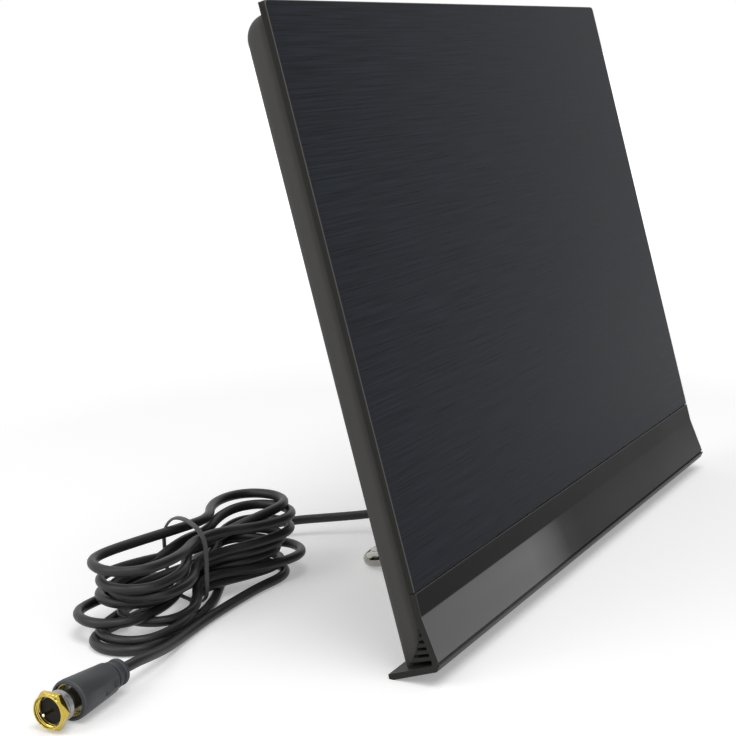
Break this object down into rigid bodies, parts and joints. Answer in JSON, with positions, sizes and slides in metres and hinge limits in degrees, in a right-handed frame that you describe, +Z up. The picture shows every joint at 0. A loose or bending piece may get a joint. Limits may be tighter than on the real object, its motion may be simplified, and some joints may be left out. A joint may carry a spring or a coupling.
{
  "type": "indoor tv antenna",
  "caption": "Flat indoor TV antenna: a brushed panel leaning back on a flared foot strip and a bent rod stand, with a thin coaxial cable tied in a hank and a screw-on plug.",
  "frame": {"origin": "on the floor, midway across the antenna and midway from the front of its strip to the rear of its stand", "axes": "+X across the antenna to the right as seen from the front, -Y to the front, +Z up"},
  "size_m": [0.3938, 0.1414, 0.2219],
  "materials": {
    "brushed_panel": "brushed, satin",
    "housing_plastic": "fine matt",
    "strip_plastic": "satin",
    "screw_steel": "black zinc",
    "board_laminate": "glass laminate",
    "radiator_foil": "copper foil",
    "can_steel": "tinned",
    "stand_chrome": "polished",
    "cable_jacket": "satin",
    "tie_coating": "satin",
    "boot_plastic": "fine matt",
    "plug_gold": "gold plated",
    "plug_nickel": "nickel plated",
    "insulator_plastic": "dull black"
  },
  "bodies": {
    "antenna": {"front_panel": "brushed_panel", "rear_housing": "housing_plastic", "base_strip": "strip_plastic", "housing_screws": "screw_steel", "strip_screws": "screw_steel", "radiator_board": "board_laminate", "radiator_left": "radiator_foil", "radiator_right": "radiator_foil", "amplifier_board": "board_laminate", "shield_can": "can_steel", "coax_pigtail": "cable_jacket", "wire_stand": "stand_chrome", "cable_gland": "cable_jacket", "cable_lead": "cable_jacket", "cable_hank": "cable_jacket", "cable_tie": "tie_coating", "cable_tail": "cable_jacket", "plug_boot": "boot_plastic", "cup_ring": "plug_gold", "plug_sleeve": "plug_nickel", "plug_insulator": "insulator_plastic", "centre_pin": "plug_gold"},
    "nut": {"coupling_nut": "plug_gold"}
  },
  "joints": [
    {"name": "nut_spin", "type": "hinge", "parent": "antenna", "child": "nut", "pos_m": [-0.2365, 0.052, 0.0068], "axis": [1, 0, 0], "continuous": true}
  ]
}
